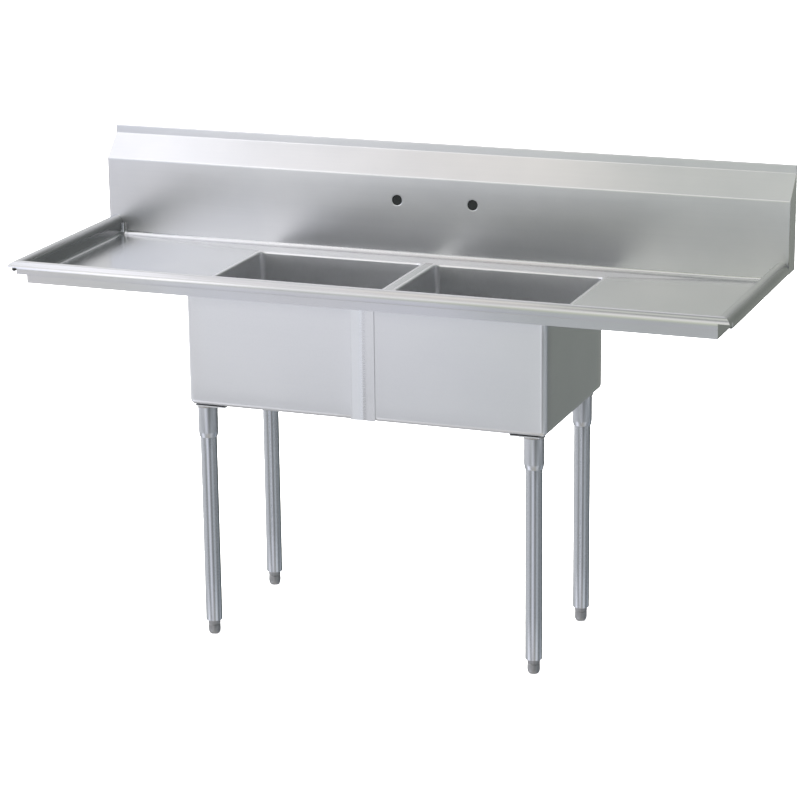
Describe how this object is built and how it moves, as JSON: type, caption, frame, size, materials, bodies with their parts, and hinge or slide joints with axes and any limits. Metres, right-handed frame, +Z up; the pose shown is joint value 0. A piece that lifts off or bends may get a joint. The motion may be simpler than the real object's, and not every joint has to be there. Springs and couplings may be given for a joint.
{
  "type": "commercial sink",
  "caption": "Free standing stainless kitchen sink with deep coved bowls, a drainboard at each end, rolled rims, a sloped backsplash with faucet holes, and tube legs on bullet feet.",
  "frame": {"origin": "on the floor, under the middle of the box that holds the whole sink", "axes": "+X to the right hand end seen from the front, +Y to the wall, +Z up; the front faces -Y"},
  "size_m": [1.829, 0.64, 1.176],
  "materials": {
    "top_sheet": "fine brushed stainless sheet",
    "bowl_sheet": "brushed stainless sheet",
    "leg_tube": "satin stainless tube",
    "leg_socket": "satin stainless casting",
    "mill_finish_steel": "dull mill finish",
    "foot_steel": "dark satin steel",
    "polished_drain": "polished stainless",
    "plated_nut": "plated die casting",
    "rubber_gasket": "matte black"
  },
  "bodies": {
    "sink": {"front_rim": "top_sheet", "left_end_rim": "top_sheet", "right_end_rim": "top_sheet", "backsplash": "top_sheet", "left_splash_cap": "top_sheet", "right_splash_cap": "top_sheet", "left_drainboard": "top_sheet", "right_drainboard": "top_sheet", "back_ledge": "top_sheet", "front_ledge": "top_sheet", "divider_cap": "top_sheet", "left_tub": "bowl_sheet", "right_tub": "bowl_sheet", "front_filler_strip": "bowl_sheet", "rear_filler_strip": "bowl_sheet", "left_stiffener": "mill_finish_steel", "right_stiffener": "mill_finish_steel", "front_left_gusset": "mill_finish_steel", "front_right_gusset": "mill_finish_steel", "rear_left_gusset": "mill_finish_steel", "rear_right_gusset": "mill_finish_steel", "front_left_socket": "leg_socket", "front_right_socket": "leg_socket", "rear_left_socket": "leg_socket", "rear_right_socket": "leg_socket", "socket_set_screws": "foot_steel", "front_left_leg": "leg_tube", "front_right_leg": "leg_tube", "rear_left_leg": "leg_tube", "rear_right_leg": "leg_tube", "front_left_foot_insert": "foot_steel", "front_right_foot_insert": "foot_steel", "rear_left_foot_insert": "foot_steel", "rear_right_foot_insert": "foot_steel", "left_drain_body": "polished_drain", "right_drain_body": "polished_drain", "left_drain_gasket": "rubber_gasket", "right_drain_gasket": "rubber_gasket", "left_drain_locknut": "plated_nut", "right_drain_locknut": "plated_nut"},
    "front_left_foot": {"front_left_bullet_foot": "foot_steel"},
    "front_right_foot": {"front_right_bullet_foot": "foot_steel"},
    "rear_left_foot": {"rear_left_bullet_foot": "foot_steel"},
    "rear_right_foot": {"rear_right_bullet_foot": "foot_steel"},
    "left_basket": {"left_strainer_basket": "polished_drain"},
    "right_basket": {"right_strainer_basket": "polished_drain"}
  },
  "joints": [
    {"name": "front_left_foot_screw", "type": "slide", "parent": "sink", "child": "front_left_foot", "axis": [0, 0, -1], "range_m": [-0.012, 0.02]},
    {"name": "front_right_foot_screw", "type": "slide", "parent": "sink", "child": "front_right_foot", "axis": [0, 0, -1], "range_m": [-0.012, 0.02]},
    {"name": "rear_left_foot_screw", "type": "slide", "parent": "sink", "child": "rear_left_foot", "axis": [0, 0, -1], "range_m": [-0.012, 0.02]},
    {"name": "rear_right_foot_screw", "type": "slide", "parent": "sink", "child": "rear_right_foot", "axis": [0, 0, -1], "range_m": [-0.012, 0.02]},
    {"name": "left_basket_lift", "type": "slide", "parent": "sink", "child": "left_basket", "axis": [0, 0, 1], "range_m": [0, 0.3]},
    {"name": "right_basket_lift", "type": "slide", "parent": "sink", "child": "right_basket", "axis": [0, 0, 1], "range_m": [0, 0.3]}
  ]
}
